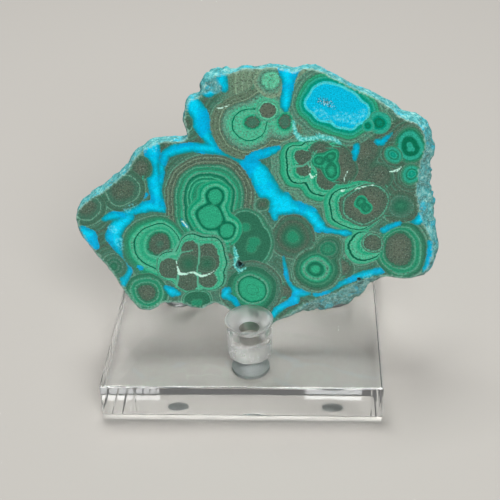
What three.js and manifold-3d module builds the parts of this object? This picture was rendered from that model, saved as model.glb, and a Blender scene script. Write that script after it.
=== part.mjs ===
// A polished slice of malachite in chrysocolla, leaning on a clear acrylic peg stand.
// Millimetres, +Z up. The origin is in the middle of the whole object's footprint, on the resting surface.

import * as THREE from "three";
import { mergeVertices } from "three/addons/utils/BufferGeometryUtils.js";
import Module from "manifold-3d";

const wasm = await Module();
wasm.setup();

// Clear acrylic stand. Places on the plate are measured from the middle of its front edge: across, then back.
const PLATE_WIDTH = 75;
const PLATE_DEPTH = 76.2;
const PLATE_THICKNESS = 10;
const PLATE_EASED_EDGE = 0.4;

const PEG_RADIUS = 6;
const PEG_SIDES = 48;
const FRONT_PEG_AT = [1.85, 15.6];
const FRONT_PEG_HEIGHT = 10.8;
const FRONT_PEG_RIM_RADIUS = 6.5;
const FRONT_PEG_RIM_HEIGHT = 0.9;
const DISH_RADIUS = 6.0;
const DISH_DEPTH = 3.0;
const HOLE_RADIUS = 2.75;
const HOLE_DEPTH = 6.0;
const REAR_PEG_ACROSS = 23;
const REAR_PEG_HEIGHT = 40;
const REAR_PEG_CHAMFER = 0.5;

const FOOT_RADIUS = 5.2;
const FOOT_SOLE_RADIUS = 4.9;
const FOOT_ROUNDED = 0.3;
const FOOT_HEIGHT = 1.2;
const FOOT_SIDES = 40;
const REAR_FOOT_BACK = 3.4;

// Stone slice. It leans back, its lowest tongue stands on the plate behind the front peg.
const SLAB_THICKNESS = 6.2;
const SLAB_LEAN = THREE.MathUtils.degToRad(15);
const SLAB_FACE_BACK = 21.4;
const RESTING_GAP = 0.3;
const EDGE_STEPS = 230;
const RUGGED = 0.22;
const RUGGED_PER_FLARE = 0.11;
const KNOB_FACETS = 1;
const PIT_MOUTH_CLEARANCE = 0.2;

// Edge of the polished face, anticlockwise from the left tip: across, up along the face, and how far
// the broken wall stands out beyond that edge by the time it reaches the back.
const FACE_EDGE = [
  [-45.2, 35.2, 0.2], [-44.8, 32.4, 0.2], [-43.5, 29.1, 0.2], [-41.9, 26.6, 0.2], [-39.8, 23.9, 0.2],
  [-37.2, 20.5, 0.2], [-35.2, 17.1, 0.2], [-33.2, 13.6, 0.2], [-31.2, 11.0, 0.2], [-29.4, 8.6, 0.2],
  [-27.2, 7.9, 0.1], [-25.2, 8.3, 0.1], [-22.8, 9.9, 0.0], [-18.8, 10.2, 0.0], [-15.6, 9.3, 0.2],
  [-12.2, 8.4, 0.3], [-9.8, 9.4, 0.1], [-7.6, 10.1, 0.0], [-5.2, 9.0, 0.0], [-3.2, 7.2, 0.0],
  [-1.2, 4.4, 0.0], [1.2, 2.4, 0.0], [3.6, 2.1, 0.0], [6.0, 2.5, 0.0], [8.8, 4.6, 0.3],
  [11.6, 6.3, 1.4], [14.0, 8.2, 2.6], [17.2, 10.6, 4.0], [21.0, 12.2, 5.4], [25.0, 14.0, 6.0],
  [28.6, 15.6, 5.6], [31.8, 16.9, 4.2], [35.2, 17.8, 2.4], [38.6, 18.0, 0.8], [42.0, 17.5, 0.6],
  [45.8, 17.7, 0.8], [48.6, 18.9, 1.2], [50.4, 21.4, 1.6], [51.2, 25.2, 1.6], [50.4, 28.8, 2.2],
  [48.6, 32.0, 3.8], [47.2, 35.4, 4.6], [46.2, 39.0, 4.8], [46.0, 43.0, 4.4], [46.3, 47.0, 4.0],
  [47.0, 50.5, 3.6], [48.0, 54.0, 2.8], [47.6, 57.0, 2.6], [46.4, 59.4, 2.2], [44.0, 60.8, 1.6],
  [41.2, 62.0, 1.3], [39.2, 64.2, 0.7], [36.6, 65.9, 0.5], [33.0, 68.1, 0.2], [29.6, 69.5, 0.0],
  [26.0, 71.5, 0.0], [22.6, 73.3, 0.0], [19.4, 74.7, 0.0], [17.0, 75.1, -0.2], [14.2, 74.0, -0.2],
  [11.8, 74.8, -0.2], [8.6, 75.3, -0.3], [4.8, 74.9, -0.3], [1.2, 74.9, -0.2], [-1.2, 74.0, 0.0],
  [-4.2, 73.4, 0.6], [-7.4, 72.4, 1.0], [-9.4, 70.4, 0.8], [-9.7, 68.6, 0.5], [-11.2, 67.2, 0.5],
  [-12.9, 67.0, 0.4], [-14.0, 65.1, 0.4], [-14.5, 63.2, 0.3], [-15.0, 61.2, 0.2], [-14.2, 59.0, 0.1],
  [-13.9, 57.2, 0.0], [-14.9, 56.2, 0.0], [-17.5, 55.8, 0.2], [-20.4, 55.8, 0.2], [-23.0, 55.2, 0.3],
  [-26.2, 53.2, 0.8], [-28.6, 50.8, 1.0], [-30.4, 47.7, 1.0], [-33.4, 45.3, 1.0], [-36.6, 42.7, 1.0],
  [-39.8, 40.8, 0.9], [-42.6, 38.9, 0.7], [-44.5, 37.1, 0.4],
];

// Rings of the wall from the polished face to the back: share of the thickness, share of the flare,
// share of the ruggedness.
const WALL_RINGS = [
  [0.0, 0.0, 0.0],
  [0.1, 0.35, 0.5],
  [0.3, 0.78, 1.0],
  [0.55, 1.0, 1.0],
  [0.8, 0.96, 1.0],
  [1.0, 0.85, 0.6],
];

// Open pits in the polished face: across, up, half width, half height, depth, corners, turn in degrees.
const PITS = [
  [-1.0, 21.5, 1.35, 2.0, 2.6, 3, 200],
  [31.5, 17.2, 1.0, 0.7, 1.8, 5, 15],
  [22.4, 65.8, 1.9, 0.75, 0.9, 6, -12],
];

// Knobs of the crust at the top left corner: across, up, depth, radius.
const KNOBS = [
  [-3.4, 73.7, 2.2, 1.5], [-5.6, 73.1, 2.8, 1.7], [-7.8, 71.9, 2.4, 1.8], [-9.1, 70.0, 3.0, 1.6],
  [-9.4, 68.4, 2.2, 1.3], [-11.4, 66.6, 2.6, 1.3], [-13.0, 65.6, 3.0, 1.4], [-13.6, 63.6, 2.4, 1.2],
  [-6.7, 72.8, 4.4, 1.6], [-8.8, 71.0, 4.6, 1.5],
];

const STONE = new THREE.MeshStandardMaterial({ color: 0x1f7f63, roughness: 0.28, metalness: 0 });
const ACRYLIC = new THREE.MeshStandardMaterial({
  color: 0xe4e7e2, roughness: 0.06, metalness: 0, transparent: true, opacity: 0.35,
});
const RUBBER = new THREE.MeshStandardMaterial({ color: 0x6a706f, roughness: 0.7, metalness: 0 });

const plateTop = FOOT_HEIGHT + PLATE_THICKNESS;
const lowestUp =
  (RESTING_GAP + SLAB_THICKNESS * Math.sin(SLAB_LEAN)) / Math.cos(SLAB_LEAN);
const rearPegBack =
  SLAB_FACE_BACK + REAR_PEG_HEIGHT * Math.tan(SLAB_LEAN) + SLAB_THICKNESS / Math.cos(SLAB_LEAN) +
  RESTING_GAP + PEG_RADIUS;
const [pegLine, frontPegBack] = FRONT_PEG_AT;
const pegPlaces = {
  front: [pegLine, frontPegBack],
  rear_left: [pegLine - REAR_PEG_ACROSS, rearPegBack],
  rear_right: [pegLine + REAR_PEG_ACROSS, rearPegBack],
};

function addPiece(parent, name, geometry, material) {
  const piece = new THREE.Mesh(geometry, material);
  piece.name = name;
  parent.add(piece);
  return piece;
}

// A closed geometry as a solid for joining and cutting.
function solidOf(geometry) {
  const bare = new THREE.BufferGeometry();
  bare.setAttribute("position", geometry.getAttribute("position"));
  bare.setIndex(geometry.index);
  const merged = mergeVertices(bare, 1e-4);
  const mesh = new wasm.Mesh({
    numProp: 3,
    vertProperties: merged.attributes.position.array,
    triVerts: new Uint32Array(merged.index.array),
  });
  return new wasm.Manifold(mesh);
}

function geometryOf(solid) {
  const mesh = solid.getMesh();
  const geometry = new THREE.BufferGeometry();
  geometry.setAttribute("position", new THREE.BufferAttribute(mesh.vertProperties, 3));
  geometry.setIndex(new THREE.BufferAttribute(mesh.triVerts, 1));
  geometry.computeVertexNormals();
  return geometry;
}

// Turns a profile of [radius, height] points round the vertical axis.
function turned(profile, sides) {
  const points = profile.map(([radius, height]) => new THREE.Vector2(radius, height));
  const geometry = new THREE.LatheGeometry(points, sides);
  geometry.rotateX(Math.PI / 2);
  return geometry;
}

function plateGeometry() {
  const halfWidth = PLATE_WIDTH / 2 - PLATE_EASED_EDGE;
  const halfDepth = PLATE_DEPTH / 2 - PLATE_EASED_EDGE;
  const outline = new THREE.Shape();
  outline.moveTo(-halfWidth, -halfDepth);
  outline.lineTo(halfWidth, -halfDepth);
  outline.lineTo(halfWidth, halfDepth);
  outline.lineTo(-halfWidth, halfDepth);
  const geometry = new THREE.ExtrudeGeometry(outline, {
    depth: PLATE_THICKNESS - 2 * PLATE_EASED_EDGE,
    bevelSize: PLATE_EASED_EDGE,
    bevelThickness: PLATE_EASED_EDGE,
    bevelSegments: 1,
  });
  geometry.translate(0, PLATE_DEPTH / 2, FOOT_HEIGHT + PLATE_EASED_EDGE);
  return geometry;
}

function frontPegGeometry() {
  const holeMouth = FRONT_PEG_HEIGHT - DISH_DEPTH;
  const profile = [
    [0, 0],
    [PEG_RADIUS, 0],
    [PEG_RADIUS, FRONT_PEG_HEIGHT - FRONT_PEG_RIM_HEIGHT],
    [FRONT_PEG_RIM_RADIUS, FRONT_PEG_HEIGHT - FRONT_PEG_RIM_HEIGHT / 3],
    [FRONT_PEG_RIM_RADIUS, FRONT_PEG_HEIGHT],
    [DISH_RADIUS, FRONT_PEG_HEIGHT],
    [HOLE_RADIUS, holeMouth],
    [HOLE_RADIUS, FRONT_PEG_HEIGHT - HOLE_DEPTH],
    [0, FRONT_PEG_HEIGHT - HOLE_DEPTH],
  ];
  return turned(profile, PEG_SIDES);
}

function rearPegGeometry() {
  const profile = [
    [0, 0],
    [PEG_RADIUS, 0],
    [PEG_RADIUS, REAR_PEG_HEIGHT - REAR_PEG_CHAMFER],
    [PEG_RADIUS - REAR_PEG_CHAMFER, REAR_PEG_HEIGHT],
    [0, REAR_PEG_HEIGHT],
  ];
  return turned(profile, PEG_SIDES);
}

function footGeometry() {
  const profile = [
    [0, 0],
    [FOOT_SOLE_RADIUS, 0],
    [FOOT_RADIUS, FOOT_ROUNDED],
    [FOOT_RADIUS, FOOT_HEIGHT],
    [0, FOOT_HEIGHT],
  ];
  return turned(profile, FOOT_SIDES);
}

// Uneven lumps and ledges of the broken wall, between about -1.5 and 1.5.
function ruggedness(across, up, depth) {
  const lumps = Math.sin(0.9 * across + 0.8 * depth) * Math.sin(0.8 * up - 0.9 * depth);
  const chips = 0.5 * Math.sin(2.3 * across + 1.7 * up + 1.9 * depth);
  return lumps + chips;
}

// The slice lies with its polished face in the plane y = 0, facing -Y, and its thickness towards +Y.
function sliceGeometry() {
  const corners = FACE_EDGE.map(([across, up, flare]) => new THREE.Vector3(across, flare, up));
  const edge = new THREE.CatmullRomCurve3(corners, true, "centripetal");
  const rim = [];
  for (let step = 0; step < EDGE_STEPS; step++) {
    const at = edge.getPointAt(step / EDGE_STEPS);
    const along = edge.getTangentAt(step / EDGE_STEPS);
    const outward = new THREE.Vector2(along.z, -along.x).normalize();
    rim.push({ across: at.x, up: at.z, flare: at.y, outward });
  }
  const positions = [];
  for (const [depthShare, flareShare, ruggedShare] of WALL_RINGS) {
    const depth = depthShare * SLAB_THICKNESS;
    for (const { across, up, flare, outward } of rim) {
      const rugged = (RUGGED + RUGGED_PER_FLARE * Math.abs(flare)) * ruggedness(across, up, depth);
      const reach = flareShare * flare + ruggedShare * rugged;
      const height = Math.max(up + reach * outward.y, lowestUp);
      positions.push(across + reach * outward.x, depth, height);
    }
  }
  const index = [];
  for (let ring = 0; ring < WALL_RINGS.length - 1; ring++) {
    for (let step = 0; step < EDGE_STEPS; step++) {
      const next = (step + 1) % EDGE_STEPS;
      const a = ring * EDGE_STEPS + step;
      const b = ring * EDGE_STEPS + next;
      const c = b + EDGE_STEPS;
      const d = a + EDGE_STEPS;
      index.push(a, d, b, b, d, c);
    }
  }
  const backStart = (WALL_RINGS.length - 1) * EDGE_STEPS;
  const outlineOf = (start) =>
    rim.map((_, step) => new THREE.Vector2(positions[3 * (start + step)], positions[3 * (start + step) + 2]));
  for (const [a, b, c] of THREE.ShapeUtils.triangulateShape(outlineOf(0), [])) {
    index.push(a, b, c);
  }
  for (const [a, b, c] of THREE.ShapeUtils.triangulateShape(outlineOf(backStart), [])) {
    index.push(backStart + a, backStart + c, backStart + b);
  }
  const geometry = new THREE.BufferGeometry();
  geometry.setAttribute("position", new THREE.Float32BufferAttribute(positions, 3));
  geometry.setIndex(index);
  return geometry;
}

function pitGeometry([across, up, halfWidth, halfHeight, depth, sides, turn]) {
  const geometry = new THREE.ConeGeometry(1, depth + PIT_MOUTH_CLEARANCE, sides);
  geometry.rotateY(THREE.MathUtils.degToRad(turn));
  geometry.scale(halfWidth, 1, halfHeight);
  geometry.translate(across, (depth + PIT_MOUTH_CLEARANCE) / 2 - PIT_MOUTH_CLEARANCE, up);
  return geometry;
}

function knobGeometry([across, up, depth, radius]) {
  const geometry = new THREE.IcosahedronGeometry(radius, KNOB_FACETS);
  geometry.translate(across, depth, up);
  return geometry;
}

function slabGeometry() {
  let solid = solidOf(sliceGeometry());
  for (const knob of KNOBS) {
    solid = solid.add(solidOf(knobGeometry(knob)));
  }
  for (const pit of PITS) {
    solid = solid.subtract(solidOf(pitGeometry(pit)));
  }
  return geometryOf(solid);
}

// The layout is measured from the middle of the plate's front edge, then centred on its whole footprint.
const specimen = new THREE.Group();
const layout = new THREE.Group();
specimen.add(layout);

addPiece(layout, "base_plate", plateGeometry(), ACRYLIC);
const frontPeg = addPiece(layout, "front_peg", frontPegGeometry(), ACRYLIC);
frontPeg.position.set(...pegPlaces.front, plateTop);
for (const side of ["left", "right"]) {
  const rearPeg = addPiece(layout, `rear_peg_${side}`, rearPegGeometry(), ACRYLIC);
  rearPeg.position.set(...pegPlaces[`rear_${side}`], plateTop);
}
// A rubber foot under each peg, the rear ones a little further back.
for (const [place, [across, back]] of Object.entries(pegPlaces)) {
  const foot = addPiece(layout, `foot_${place}`, footGeometry(), RUBBER);
  foot.position.set(across, place === "front" ? back : back + REAR_FOOT_BACK, 0);
}
const slab = addPiece(layout, "slab", slabGeometry(), STONE);
slab.rotation.x = -SLAB_LEAN;
slab.position.set(0, SLAB_FACE_BACK, plateTop);

const footprint = new THREE.Box3().setFromObject(layout, true).getCenter(new THREE.Vector3());
layout.position.set(-footprint.x, -footprint.y, 0);

export default specimen;
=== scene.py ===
import math

import bmesh
import bpy
import numpy as np
from mathutils import Matrix, Vector, kdtree


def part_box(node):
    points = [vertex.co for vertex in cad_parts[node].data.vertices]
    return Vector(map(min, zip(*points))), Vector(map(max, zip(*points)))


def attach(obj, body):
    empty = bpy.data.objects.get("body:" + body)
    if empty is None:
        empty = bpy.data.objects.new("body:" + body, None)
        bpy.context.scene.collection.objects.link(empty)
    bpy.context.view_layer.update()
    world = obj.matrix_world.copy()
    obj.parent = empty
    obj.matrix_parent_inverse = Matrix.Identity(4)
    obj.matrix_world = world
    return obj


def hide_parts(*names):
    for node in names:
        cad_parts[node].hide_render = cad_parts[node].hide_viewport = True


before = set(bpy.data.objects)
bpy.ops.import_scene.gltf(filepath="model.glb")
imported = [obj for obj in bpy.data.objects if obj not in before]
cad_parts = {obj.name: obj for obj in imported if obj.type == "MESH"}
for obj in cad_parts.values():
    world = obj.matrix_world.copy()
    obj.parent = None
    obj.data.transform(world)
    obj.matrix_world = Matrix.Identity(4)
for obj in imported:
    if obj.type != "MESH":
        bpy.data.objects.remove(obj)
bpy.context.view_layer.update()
mm = 0.001
print("frame loaded:", len(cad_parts), "nodes")


# small helpers

def shade(r, g, b):
    def linear(c):
        c /= 255.0
        return c / 12.92 if c <= 0.04045 else ((c + 0.055) / 1.055) ** 2.4
    return (linear(r), linear(g), linear(b), 1.0)


def soft(x, low, high):
    t = np.clip((x - low) / (high - low), 0.0, 1.0)
    return t * t * (3 - 2 * t)


def addPiece(name, mesh, node):
    piece = bpy.data.objects.new(name, mesh)
    bpy.context.scene.collection.objects.link(piece)
    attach(piece, "root")
    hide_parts(node)
    return piece


def smoothFaces(mesh, angle):
    mesh.polygons.foreach_set("use_smooth", [True] * len(mesh.polygons))
    mesh.set_sharp_from_angle(angle=math.radians(angle))


def newMaterial(name):
    material = bpy.data.materials.new(name)
    material.use_nodes = True
    tree = material.node_tree
    tree.nodes.clear()
    out = tree.nodes.new("ShaderNodeOutputMaterial")
    body = tree.nodes.new("ShaderNodeBsdfPrincipled")
    tree.links.new(body.outputs["BSDF"], out.inputs["Surface"])
    return material, tree, body, out


def plug(tree, value, socket):
    if isinstance(value, bpy.types.NodeSocket):
        tree.links.new(value, socket)
    elif value is not None:
        socket.default_value = value


def maths(tree, operation, a, b=None, c=None, clamp=False):
    n = tree.nodes.new("ShaderNodeMath")
    n.operation = operation
    n.use_clamp = clamp
    for value, socket in zip((a, b, c), n.inputs):
        plug(tree, value, socket)
    return n.outputs[0]


def mixed(tree, factor, a, b, blend="MIX"):
    n = tree.nodes.new("ShaderNodeMix")
    n.data_type = "RGBA"
    n.blend_type = blend
    plug(tree, factor, n.inputs[0])
    plug(tree, a, n.inputs[6])
    plug(tree, b, n.inputs[7])
    return n.outputs[2]


def between(tree, value, low, high, toLow=0.0, toHigh=1.0):
    n = tree.nodes.new("ShaderNodeMapRange")
    n.interpolation_type = "SMOOTHSTEP"
    for v, socket in zip((value, low, high, toLow, toHigh), n.inputs):
        plug(tree, v, socket)
    return n.outputs[0]


def noise(tree, place, scale, detail=2.0, roughness=0.5, distortion=0.0):
    n = tree.nodes.new("ShaderNodeTexNoise")
    plug(tree, place, n.inputs["Vector"])
    n.inputs["Scale"].default_value = scale
    n.inputs["Detail"].default_value = detail
    n.inputs["Roughness"].default_value = roughness
    n.inputs["Distortion"].default_value = distortion
    return n.outputs[0]


def ramp(tree, value, stops):
    n = tree.nodes.new("ShaderNodeValToRGB")
    plug(tree, value, n.inputs[0])
    points = n.color_ramp.elements
    while len(points) < len(stops):
        points.new(0.5)
    for point, (at, colour) in zip(points, stops):
        point.position = at
    for point, (at, colour) in zip(points, stops):
        point.color = colour
    return n.outputs[0]


def stored(tree, name, output="Fac"):
    n = tree.nodes.new("ShaderNodeAttribute")
    n.attribute_name = name
    return n.outputs[output]


def bump(tree, height, strength, distance):
    n = tree.nodes.new("ShaderNodeBump")
    n.inputs["Strength"].default_value = strength
    n.inputs["Distance"].default_value = distance
    tree.links.new(height, n.inputs["Height"])
    return n.outputs["Normal"]


# the stone: places on its polished face are in mm, across from the plate's middle and up along the face
stone = {
    "lean": 15.0,
    "faceBack": 21.4,
    "thick": 6.2,
    "voxel": 0.41,
    "lumps": [(2.2, 0.16, 31), (1.1, 0.12, 37)],
    # wavelength, height and seed of the broken wall's relief
    "warp": [(9.0, 0.4, 1), (4.2, 0.32, 3), (1.7, 0.12, 5)],
    "polish": 0.12,
    "sawn": 0.5,
    "broken": 0.85,
    "specular": 0.15,
    "facing": 0.8,
    "frontWithin": 0.2,
    "backWithin": 0.25,
    "pitsTo": 3.2,
    "edgeTo": 0.9,
    "cleanLine": 0.7,
    "sharpAt": 38,
}

shades = {
    "pale": (100, 205, 165), "light": (75, 190, 150), "mint": (85, 170, 140), "reed": (100, 160, 135),
    "jade": (45, 165, 125), "leaf": (20, 150, 110), "green": (40, 140, 105), "deep": (30, 120, 90),
    "dark": (10, 110, 80), "ink": (5, 90, 65), "moss": (55, 130, 100), "halo": (45, 110, 85),
    "olive": (75, 130, 110), "fern": (65, 115, 95), "bark": (65, 105, 85), "umber": (75, 100, 85),
    "taupe": (90, 105, 90), "clay": (85, 110, 90), "straw": (105, 135, 110), "sage": (120, 150, 125),
    "lichen": (135, 170, 140), "sea": (5, 145, 120), "surf": (45, 165, 140), "lagoon": (25, 180, 180),
    "water": (5, 185, 220), "foam": (70, 210, 215),
}

# bands outwards from the edge of a nodule's core, in mm
bands = {
    "field": [
        (0.0, "olive"), (0.25, "reed"), (0.45, "fern"), (0.9, "olive"), (1.2, "fern"), (1.7, "bark"),
        (2.1, "olive"), (2.4, "fern"), (3.0, "umber"), (3.6, "fern"), (3.9, "olive"), (4.3, "bark"),
        (5.5, "umber"), (6.2, "fern")],
    "topField": [
        (2.0, "sage"), (2.6, "straw"), (3.4, "sage"), (3.7, "lichen"), (4.0, "straw"), (5.0, "sage"),
        (5.3, "lichen"), (5.6, "straw"), (6.6, "sage"), (6.9, "lichen"), (7.3, "straw"),
        (11.0, "olive")],
    "matrix": [
        (2.0, "umber"), (2.5, "bark"), (2.8, "olive"), (3.1, "bark"), (3.6, "umber"), (3.9, "olive"),
        (4.2, "umber"), (4.9, "bark"), (5.2, "olive"), (5.5, "umber"), (6.6, "bark")],
    "bullseye": [
        (-0.4, "jade"), (-0.05, "green"), (0.1, "dark"), (0.45, "dark"), (0.8, "jade"), (1.0, "light"),
        (1.35, "light"), (1.75, "leaf"), (1.95, "leaf"), (2.3, "jade"), (2.7, "green")],
    "bullseyeSkirt": [
        (0.5, "green"), (0.8, "leaf"), (1.05, "light"), (1.2, "jade"), (1.45, "deep"), (1.7, "green"),
        (1.9, "light"), (2.1, "green"), (2.4, "deep"), (2.7, "dark"), (3.0, "mint"), (3.4, "jade"),
        (3.9, "moss"), (4.3, "green"), (4.6, "mint"), (4.8, "moss"), (5.1, "fern"), (5.4, "clay"),
        (5.6, "sage"), (5.8, "umber"), (6.3, "clay"), (6.6, "sage"), (6.8, "umber"), (7.2, "clay")],
    "greenCell": [(-2.6, "halo"), (-0.4, "bark"), (0.0, "bark")],
    "softDisc": [
        (-2.4, "jade"), (-2.2, "green"), (-2.0, "jade"), (-0.5, "jade"), (-0.15, "green"), (0.0, "dark"),
        (0.2, "dark"), (0.4, "mint"), (0.7, "mint"), (1.0, "green"), (1.7, "moss"), (2.2, "halo"),
        (3.0, "halo"), (3.2, "olive"), (3.4, "fern"), (4.0, "olive"), (4.7, "umber")],
    "paleDisc": [
        (-2.2, "light"), (-1.0, "pale"), (-0.2, "pale"), (0.1, "mint"), (0.45, "olive"), (0.9, "reed"),
        (1.5, "sage"), (1.95, "lichen"), (2.3, "straw")],
    "target": [
        (-0.4, "jade"), (-0.1, "green"), (0.1, "deep"), (0.5, "dark"), (0.85, "deep"), (1.2, "jade"),
        (1.5, "mint"), (2.0, "mint"), (2.3, "jade"), (2.6, "green"), (2.8, "deep"), (3.1, "moss"),
        (4.0, "halo"), (4.75, "bark"), (5.1, "reed"), (5.4, "fern"), (6.0, "olive")],
    "quietEye": [
        (-0.3, "green"), (0.1, "moss"), (0.5, "halo"), (3.0, "halo"), (3.3, "mint"), (3.6, "moss"),
        (4.3, "fern")],
    "dullEye": [
        (-0.1, "green"), (0.3, "moss"), (0.9, "halo"), (2.0, "bark"), (2.7, "umber"), (3.2, "bark"),
        (3.8, "fern"), (4.5, "umber"), (5.2, "olive")],
    "softEye": [
        (-1.4, "green"), (-0.2, "moss"), (0.1, "deep"), (0.7, "moss"), (0.95, "olive"), (1.25, "halo"),
        (1.8, "bark"), (2.6, "fern")],
    "dimEye": [
        (-1.2, "moss"), (0.0, "halo"), (1.2, "fern"), (1.7, "olive"), (2.1, "bark"), (3.4, "umber")],
    "oliveEye": [
        (-3.5, "clay"), (-1.6, "umber"), (-0.5, "fern"), (0.0, "fern"), (0.15, "reed"), (0.3, "reed"),
        (0.5, "fern"), (1.5, "bark"), (2.2, "fern"), (3.0, "bark")],
    "lobes": [
        (-0.9, "jade"), (-0.3, "green"), (0.0, "deep"), (0.35, "deep"), (0.6, "jade"), (0.9, "green"),
        (1.1, "deep"), (1.4, "moss")],
    "tealEye": [
        (-1.0, "sea"), (-0.2, "surf"), (0.1, "dark"), (1.0, "dark"), (1.5, "surf"), (2.0, "surf"),
        (2.4, "deep"), (2.8, "moss"), (3.3, "bark")],
    "tealRing": [
        (-0.8, "surf"), (0.0, "sea"), (0.35, "surf"), (0.65, "deep"), (1.15, "surf"), (1.85, "moss"),
        (2.4, "olive")],
    "heart": [
        (-4.2, "jade"), (-2.0, "light"), (-0.2, "light"), (-0.04, "dark"), (0.1, "dark"),
        (0.28, "light"),
        (0.75, "light"), (1.25, "mint"), (1.75, "reed"), (2.1, "olive"), (2.55, "clay"),
        (2.75, "lichen"),
        (3.0, "clay"), (3.75, "straw"), (4.0, "clay"), (4.4, "straw"), (4.7, "clay"), (5.1, "straw"),
        (5.5, "clay")],
    "rimmedBrown": [
        (-0.2, "taupe"), (0.0, "fern"), (0.14, "pale"), (0.34, "pale"), (0.52, "jade"), (0.8, "mint"),
        (1.1, "light")],
    "poolRim": [
        (-0.9, "water"), (-0.55, "foam"), (-0.3, "foam"), (-0.12, "lagoon"), (0.1, "sea"), (0.55, "sea"),
        (0.85, "surf"), (1.1, "surf"), (1.35, "green"), (1.75, "jade"), (2.1, "moss"), (2.5, "olive"),
        (2.8, "reed"), (3.05, "olive"), (3.5, "olive"), (3.8, "reed"), (4.1, "fern"), (4.7, "olive"),
        (5.2, "bark")],
    "softLobe": [(-0.8, "sea"), (0.3, "dark"), (0.9, "sea"), (1.3, "surf"), (1.7, "surf"),
    (2.4, "moss")],
    "softArcs": [
        (-1.0, "moss"), (0.0, "halo"), (0.6, "olive"), (1.1, "halo"), (1.6, "olive"), (2.1, "fern"),
        (3.0, "bark")],
    "brownPatch": [(-2.0, "taupe"), (-0.6, "umber"), (0.0, "bark"), (0.9, "fern")],
    "earth": [(-2.4, "taupe"), (-0.3, "umber"), (0.4, "umber"), (1.0, "bark"), (1.6, "fern")],
    "brownHeart": [
        (-2.6, "fern"), (-1.6, "umber"), (-0.5, "umber"), (-0.1, "bark"), (0.1, "halo"), (0.5, "green"),
        (1.1, "light"), (1.5, "jade"), (2.0, "jade"), (3.0, "light"), (3.3, "jade"), (3.42, "ink"),
        (3.58, "ink"), (3.72, "light"), (4.1, "light"), (4.5, "jade"), (4.8, "green"), (5.6, "moss"),
        (6.3, "fern")],
    "cluster": [
        (-0.35, "umber"), (-0.1, "bark"), (0.1, "mint"), (0.3, "light"), (0.7, "jade"), (1.2, "light"),
        (1.85, "light"), (2.06, "ink"), (2.24, "ink"), (2.4, "mint"), (2.7, "mint"), (3.0, "moss"),
        (3.6, "moss"), (4.5, "fern")],
    "crescent": [
        (-0.3, "umber"), (-0.05, "bark"), (0.1, "light"), (0.25, "light"), (0.45, "leaf"),
        (0.65, "jade"),
        (0.95, "light"), (1.5, "light"), (1.66, "ink"), (1.84, "ink"), (2.0, "light"), (2.35, "jade"),
        (2.65, "jade"), (3.0, "moss"), (3.3, "reed"), (3.45, "reed"), (3.6, "olive"), (3.9, "reed"),
        (4.3, "olive")],
    "ringedBrown": [
        (-2.5, "taupe"), (-0.4, "umber"), (-0.1, "bark"), (0.0, "halo"), (0.5, "moss"), (0.75, "mint"),
        (1.0, "green"), (1.5, "green"), (1.9, "mint"), (2.15, "moss"), (2.8, "halo"), (3.2, "fern"),
        (3.7, "olive"), (4.2, "fern")],
    "brownEye": [
        (-0.6, "fern"), (-0.15, "umber"), (0.05, "halo"), (0.25, "green"), (0.5, "jade"), (0.95, "light")],
    "mottledCore": [
        (-3.0, "taupe"), (-0.3, "umber"), (0.0, "bark"), (0.12, "mint"), (0.3, "mint"), (0.5, "fern"),
        (0.9, "umber")],
    "brownCover": [(-2.5, "taupe"), (-0.5, "umber"), (0.1, "umber"), (0.5, "bark"), (0.9, "fern")],
}

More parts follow.
